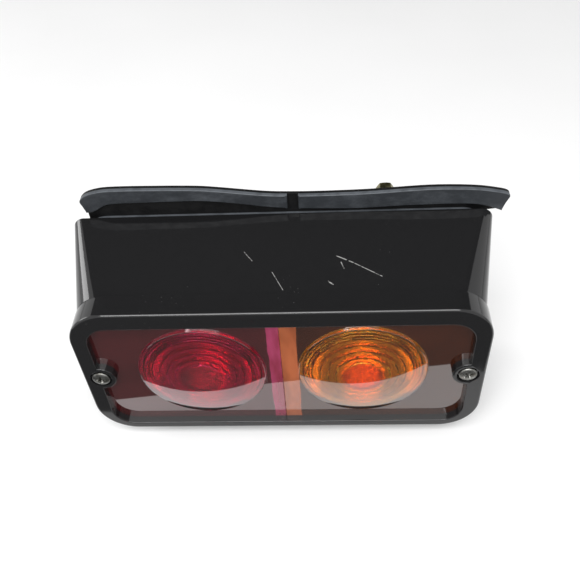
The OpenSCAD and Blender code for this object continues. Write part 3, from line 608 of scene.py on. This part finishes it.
# Lens screws
def make_screw(side, node, materials):
    x, seat = side * SCREW_X, FACE_Y + RECESS_D
    crown, steps = 0.45 * HEAD_H, 8
    bulge = [(HEAD_R * math.cos(a), seat - (HEAD_H - crown) - crown * math.sin(a))
             for a in (math.pi / 2 * i / steps for i in range(steps))]
    tip = seat + SHANK_L
    profile = [(0, tip), (SHANK_R - 0.4, tip), (SHANK_R, tip - 0.6), (SHANK_R, seat),
               (HEAD_R - 0.15, seat), (HEAD_R, seat - 0.15)] + bulge + [(0, seat - HEAD_H)]
    bm = bmesh.new()
    lathe(bm, profile, x, AXIS_Z, SCREW_STEPS)
    screw = make_object(node + "_head", bm, materials["screw"], [node], angle=30)
    for turn in (20, 110):
        cutter = make_cross_arm(x, seat - HEAD_H, turn + 15 * side)
        cut = screw.modifiers.new("cross", "BOOLEAN")
        cut.object = cutter
        cut.solver = "EXACT"
        apply_modifiers(screw)
        bpy.data.objects.remove(cutter)
    shade(screw, 30)


def make_cross_arm(x, top, turn):
    """A tapered arm of the cross recess, turned by degrees, that starts over the head's top."""
    bm = bmesh.new()
    loops = []
    for scale, y in ((1.15, top - 0.5), (0.55, top + CROSS_D)):
        corners = [(-CROSS_L, -CROSS_W), (CROSS_L, -CROSS_W), (CROSS_L, CROSS_W), (-CROSS_L, CROSS_W)]
        a = math.radians(turn)
        loops.append([(x + (u * math.cos(a) - v * math.sin(a)) * scale / 2, y,
                       AXIS_Z + (u * math.sin(a) + v * math.cos(a)) * scale / 2) for u, v in corners])
    first, last = skin(bm, loops)
    bm.faces.new(first)
    bm.faces.new(last)
    bmesh.ops.recalc_face_normals(bm, faces=bm.faces)
    mesh = bpy.data.meshes.new("cross_arm")
    bm.to_mesh(mesh)
    bm.free()
    arm = bpy.data.objects.new("cross_arm", mesh)
    bpy.context.scene.collection.objects.link(arm)
    return arm


def apply_modifiers(piece):
    """Bakes a piece's modifiers into its mesh."""
    bpy.context.view_layer.update()
    evaluated = piece.evaluated_get(bpy.context.evaluated_depsgraph_get())
    mesh = bpy.data.meshes.new_from_object(evaluated)
    piece.modifiers.clear()
    piece.data = mesh


# Gasket
# The lip's outline: share of the body's half width at the rear, and height over its top edge
LIP_TOP = [(-0.925, 2.6), (-0.936, 6.8), (-0.943, 9.6), (-0.928, 12), (-0.898, 14), (-0.85, 15.4),
           (-0.8, 16), (-0.7, 16.1), (-0.6, 15.9), (-0.48, 15.6), (-0.36, 15), (-0.25, 13.6), (-0.13, 11.8),
           (-0.04, 10.7), (0.055, 10.2), (0.17, 10), (0.285, 10.1), (0.38, 10.3), (0.475, 10.7),
           (0.58, 11.4), (0.7, 12), (0.82, 11.8), (0.93, 10.9), (1.02, 9.1), (1.055, 7.9),
           (1.068, 6.2), (1.054, 2.4), (1.04, -2.4)]
LIP_BOTTOM = [(0.985, 0.2), (0.92, 2), (0.84, 2.5), (0.75, 2.6), (0.57, 2.2), (0.38, 1.3), (0.2, 1.7),
              (0.05, 2.4), (-0.065, 3.7), (-0.15, 5.3), (-0.23, 6.6), (-0.3, 7.6), (-0.37, 8.3),
              (-0.49, 8.4), (-0.61, 8.2), (-0.7, 8.1), (-0.775, 7.9), (-0.825, 7.1), (-0.872, 4.1),
              (-0.895, 2.9)]


def smooth_run(points):
    """A curve through points in the XZ plane."""
    run, end = [], len(points) - 1
    for i in range(end):
        before, a, b, after = (Vector(points[min(max(k, 0), end)]) for k in range(i - 1, i + 3))
        for k in range(CURVE_STEPS):
            t = k / CURVE_STEPS
            run.append(0.5 * (2 * a + (b - before) * t + (2 * before - 5 * a + 4 * b - after) * t * t
                              + (3 * a - before - 3 * b + after) * t ** 3))
    return run + [Vector(points[-1])]


def over_edge(points):
    """Points of the lip's outline in millimetres from the part's centre."""
    return [(x * BODY_BACK_W / 2, z + BODY_BACK_H / 2) for x, z in points]


def keep_side(run, x, side):
    """The part of a run on one side of x, ending exactly on it."""
    kept = []
    for a, b in zip(run, run[1:] + run[-1:]):
        if (a.x - x) * side >= 0:
            kept.append(a)
        if (a.x - x) * (b.x - x) < 0:
            kept.append(a.lerp(b, (x - a.x) / (b.x - a.x)))
    return kept


def drawn_in(points, inset):
    """A closed outline that runs clockwise, moved inwards."""
    moved = []
    for i, p in enumerate(points):
        along = points[(i + 1) % len(points)] - points[i - 1]
        moved.append(p + Vector((along.y, -along.x)).normalized() * inset)
    return moved


def raise_outline(bm, outline, sections):
    """A closed block with the outline drawn in by each section's inset at its y."""
    loops = [[(p.x, y, p.y) for p in drawn_in(outline, inset)] for inset, y in sections]
    first, last = skin(bm, loops)
    fill(bm, [first])
    fill(bm, [last])


def make_gasket(materials):
    bm = bmesh.new()
    web_y = GASKET_T - GASKET_WEB
    rim = [(0, web_y + LIP_SEAT)] + [(inset, LIP_EDGE - depth) for inset, depth in rounding(LIP_EDGE, 3)]
    top, bottom = smooth_run(over_edge(LIP_TOP)), smooth_run(over_edge(LIP_BOTTOM))
    for side in SIDES:
        x = NOTCH_X + side * NOTCH_W / 2
        raise_outline(bm, keep_side(top, x, side) + keep_side(bottom, x, side), rim)
    x = BODY_BACK_W / 2 - 2 * GASKET_INSET
    z = BODY_BACK_H / 2 - GASKET_INSET + SLIP_Z - GASKET_LIMB / 2
    # The web is a near-black sheet behind the bead that fills the gap down to the body, standing in for the
    # deep shade there.
    web = [(WEB_EDGE, web_y), (0, web_y + WEB_EDGE), (0, GASKET_T - 0.01)]
    raise_outline(bm, top + [Vector((x, z)), Vector((-x, z))], web)
    outer, inner = (frame_walls(bm, inset) for inset in (0, GASKET_LIMB))
    fill(bm, [outer[0], inner[0]])
    fill(bm, [outer[1], inner[1]])
    make_object("gasket_rubber", bm, materials["gasket"], ["gasket"], angle=50)


def frame_walls(bm, inset):
    """The outer walls of the gasket's frame, or its inner walls, drawn in by inset."""
    w, h = (size - 2 * (GASKET_INSET + inset) for size in (BODY_BACK_W, BODY_BACK_H))
    loops = [rounded_rect(w, h, GASKET_R - inset, y, SLIP_Z) for y in (0, GASKET_T)]
    return skin(bm, [[(x + SLIP_X, y, z) for x, y, z in loop] for loop in loops])


# Mounting studs
def thread_ring(x, y, fade):
    """One ring of the thread's helix, sunk to the root where fade is 0."""
    ring = []
    for k in range(STUD_STEPS):
        phase = (y / THREAD_PITCH - k / STUD_STEPS) % 1
        ridge = 1 - abs(2 * phase - 1)
        r = THREAD_R - THREAD_DEPTH + THREAD_DEPTH * min(1, ridge * 1.2) * fade
        a = 2 * math.pi * k / STUD_STEPS
        ring.append((x + r * math.cos(a), y, STUD_Z + r * math.sin(a)))
    return ring


def make_stud(side, node, materials):
    x = side * STUD_X
    bm = bmesh.new()
    head_top, core = -BACK_WALL - STUD_HEAD_T, THREAD_R - 0.2
    profile = [(0, head_top), (STUD_HEAD_R - 0.3, head_top), (STUD_HEAD_R, head_top + 0.3),
               (STUD_HEAD_R, -BACK_WALL), (core, -BACK_WALL), (core, 0), (STUD_R, 0),
               (STUD_R, STUD_SHANK - 0.4), (STUD_R - THREAD_DEPTH, STUD_SHANK)]
    last = lathe(bm, profile, x, STUD_Z, STUD_STEPS)[-1]
    steps = 8
    count = steps * int(STUD_THREAD / THREAD_PITCH)
    for i in range(1, count + 1):
        fade = min(1, i / steps, (count - i) / steps)
        ring = add_loop(bm, thread_ring(x, STUD_SHANK + STUD_THREAD * i / count, fade))
        bridge(bm, last, ring)
        last = ring
    bm.faces.new(last)
    make_object(node + "_thread", bm, materials["zinc"], [node], angle=30)


# CAD nodes that keep their own mesh
CARRIED = {
    "rubber": ["lens_seal", "cable_grommet"],
    "partition": ["partition"],
    "reflector": ["reflector_left", "reflector_right"],
    "holder": ["holder_left", "holder_right", "spring_left", "spring_right"],
    "contact": ["contact_left", "contact_right"],
    "brass": ["bulb_cap_left", "bulb_cap_right"],
    "glass": ["bulb_glass_left", "bulb_glass_right"],
    "filament": ["filament_left", "filament_right"],
    "terminal": ["terminal_block"],
    "lead": ["lead_left", "lead_right"],
    "zinc": ["washer_left", "washer_right", "nut_left", "nut_right"],
}


def dress_cad_nodes(materials):
    """Gives each CAD node that stays its finish."""
    for finish, names in CARRIED.items():
        for name in names:
            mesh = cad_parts[name].data
            mesh.materials.clear()
            mesh.materials.append(materials[finish])


# Floor, light and backdrop
FLOOR_Z, FLOOR_REACH = -53.2, 3000
# The front card's near edge, whose reflection crosses the lens at a slant
CARD_REACH, CARD_FAR_Y, CARD_LIFT = 400, -900, 0.3
CARD_EDGE_LEFT, CARD_EDGE_RIGHT = -43, -138
# Lights in metres and watts: name, place, what they point at, size, power
LIGHTS = [
    ("softbox_top", (0.0, -0.75, 1.2), (0, -0.02, 0), (1.2, 0.8), 20),
    ("softbox_left", (-1.2, 0.3, 0.5), (0, -0.02, 0), (0.5, 0.5), 4),
    ("strip_front", (-0.15, -0.62, 0.58), (-0.02, -0.06, 0.045), (0.42, 0.03), 0.9),
]
# The white surround's strength as a light on the part, and as the camera and reflections see it
WORLD_LIGHT, WORLD_SEEN = 0.45, 1.0


def plain_plane(name, corners, material):
    """A flat sheet through its corners, in millimetres, that stages the part."""
    mesh = bpy.data.meshes.new(name)
    mesh.from_pydata([Vector(c) * MM for c in corners], [], [tuple(range(len(corners)))])
    plane = bpy.data.objects.new(name, mesh)
    mesh.materials.append(material)
    bpy.context.scene.collection.objects.link(plane)
    return plane


def floor_material():
    s = Shader("floor_paper", Roughness=0.7, Specular_IOR_Level=0.2)
    s.set(Base_Color=s.mix(s.span(s.noise(3, 3), 0.3, 0.7), srgb(246, 246, 246), srgb(242, 242, 242)))
    return s.material


def card_material():
    s = Shader("grey_card", Roughness=1.0, Specular_IOR_Level=0.0)
    s.set(Base_Color=s.mix(s.noise(2, 2), srgb(76, 76, 76), srgb(92, 92, 92)))
    return s.material


def make_card(name, corners, material):
    """A dark card that only reflections see, as a photographer's flag."""
    card = plain_plane(name, corners, material)
    card.visible_camera = False
    card.visible_diffuse = False
    card.visible_shadow = False
    card.visible_transmission = False
    return card


def make_light(name, place, target, size, power):
    data = bpy.data.lights.new(name, "AREA")
    data.shape = "RECTANGLE"
    data.size, data.size_y = size
    data.energy = power
    light = bpy.data.objects.new(name, data)
    light.location = Vector(place)
    light.rotation_euler = (Vector(target) - Vector(place)).to_track_quat("-Z", "Y").to_euler()
    bpy.context.scene.collection.objects.link(light)


def make_world():
    """A white surround, full to the camera and in reflections and softer as a light."""
    world = bpy.data.worlds.new("studio")
    world.use_nodes = True
    bpy.context.scene.world = world
    tree = world.node_tree
    background = tree.nodes["Background"]
    background.inputs["Color"].default_value = srgb(255, 255, 255)
    path = tree.nodes.new("ShaderNodeLightPath")
    seen = path.outputs["Is Camera Ray"]
    for kind in ("Is Glossy Ray", "Is Transmission Ray"):
        either = tree.nodes.new("ShaderNodeMath")
        either.operation = "MAXIMUM"
        tree.links.new(seen, either.inputs[0])
        tree.links.new(path.outputs[kind], either.inputs[1])
        seen = either.outputs[0]
    strength = tree.nodes.new("ShaderNodeMapRange")
    strength.inputs["To Min"].default_value = WORLD_LIGHT
    strength.inputs["To Max"].default_value = WORLD_SEEN
    tree.links.new(seen, strength.inputs["Value"])
    tree.links.new(strength.outputs[0], background.inputs["Strength"])


def make_stage():
    far, near_z = FLOOR_REACH, FLOOR_Z + CARD_LIFT
    floor = [(-far, -far, FLOOR_Z), (far, -far, FLOOR_Z), (far, far, FLOOR_Z), (-far, far, FLOOR_Z)]
    plain_plane("floor", floor, floor_material())
    dark = card_material()
    front = [(-CARD_REACH, CARD_EDGE_LEFT, near_z), (CARD_REACH, CARD_EDGE_RIGHT, near_z),
             (CARD_REACH, CARD_FAR_Y, near_z), (-CARD_REACH, CARD_FAR_Y, near_z)]
    make_card("card_front", front, dark)
    back = [(-900, 1000, 250), (900, 1000, 250), (900, 100, 1450), (-900, 100, 1450)]
    make_card("card_back", back, dark)
    for light in LIGHTS:
        make_light(*light)
    make_world()


make_camera()
finishes = make_materials()
make_housing(finishes)
make_bezel(finishes)
make_lens(-1, finishes["red"], "lens_red")
make_lens(1, finishes["amber"], "lens_amber")
make_screw(-1, "screw_left", finishes)
make_screw(1, "screw_right", finishes)
make_gasket(finishes)
make_stud(-1, "stud_left", finishes)
make_stud(1, "stud_right", finishes)
dress_cad_nodes(finishes)
make_stage()
bpy.context.scene.view_settings.view_transform = "Standard"
